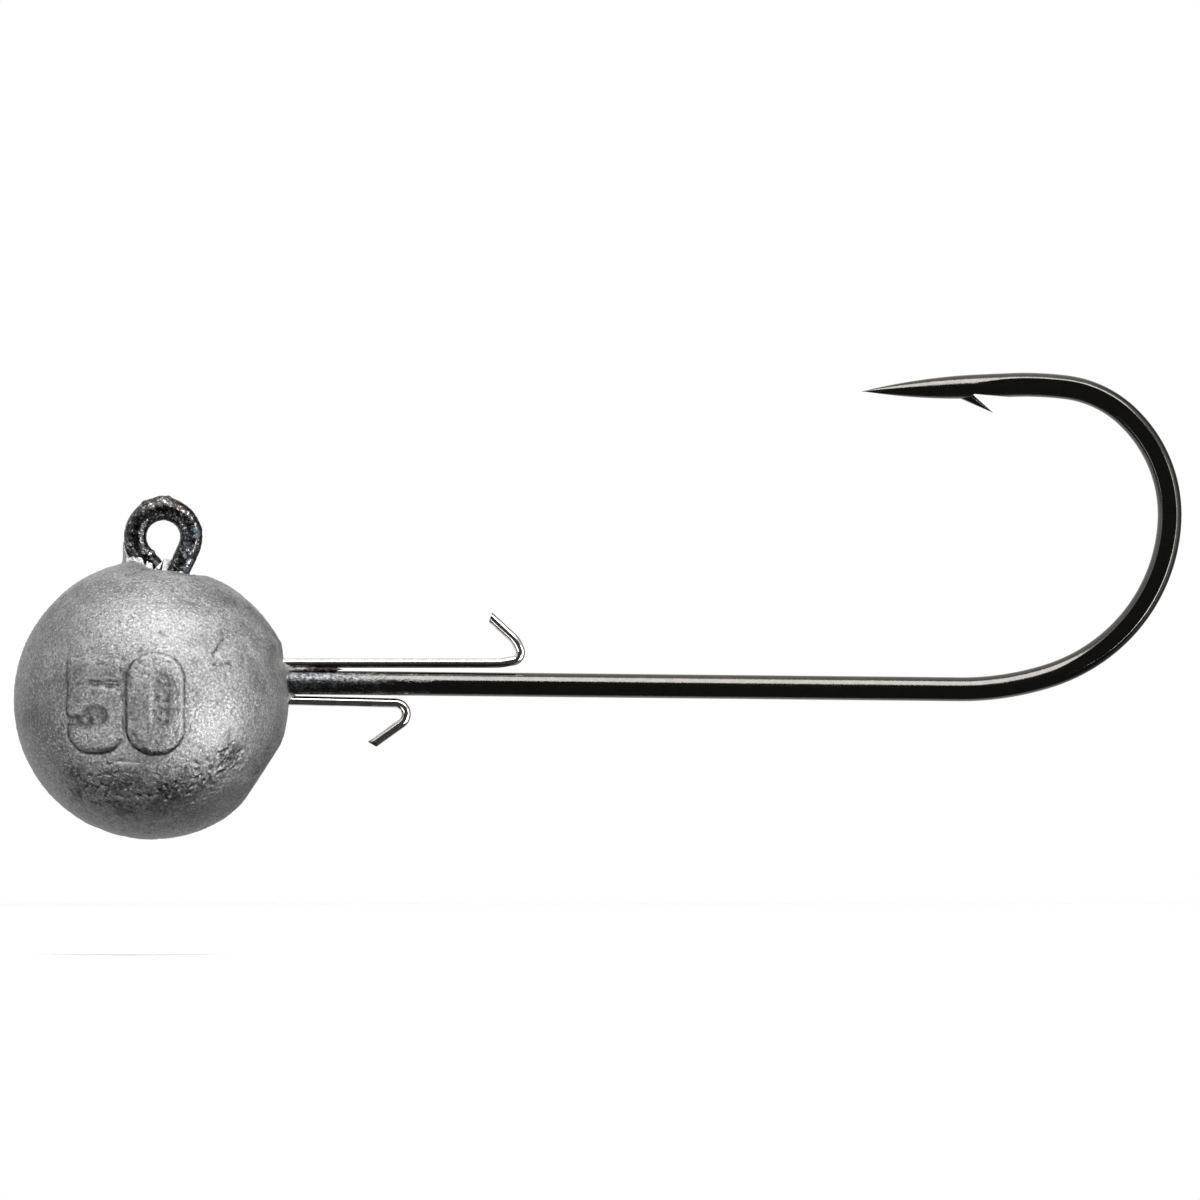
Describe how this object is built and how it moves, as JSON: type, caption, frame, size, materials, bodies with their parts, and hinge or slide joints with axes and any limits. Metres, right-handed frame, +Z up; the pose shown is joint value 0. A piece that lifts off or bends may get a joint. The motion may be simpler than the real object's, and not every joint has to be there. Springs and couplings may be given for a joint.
{
  "type": "jig head",
  "caption": "Round lead ball cast over a forged single hook and a wire bait keeper, for weighting and hooking a soft fishing lure.",
  "frame": {"origin": "centre of the hole in the line eye, in the plane of the hook", "axes": "+X from the eye along the shank towards the hook's bend, +Z up from the shank to the point, +Y away from the side that carries the raised weight mark"},
  "size_m": [0.0864, 0.0207, 0.0345],
  "materials": {
    "lead": "satin, as cast",
    "black_nickel": "gloss",
    "keeper_wire": "bright"
  },
  "bodies": {
    "root": {"lead_head": "lead", "hook": "black_nickel", "keeper": "keeper_wire"}
  },
  "joints": []
}
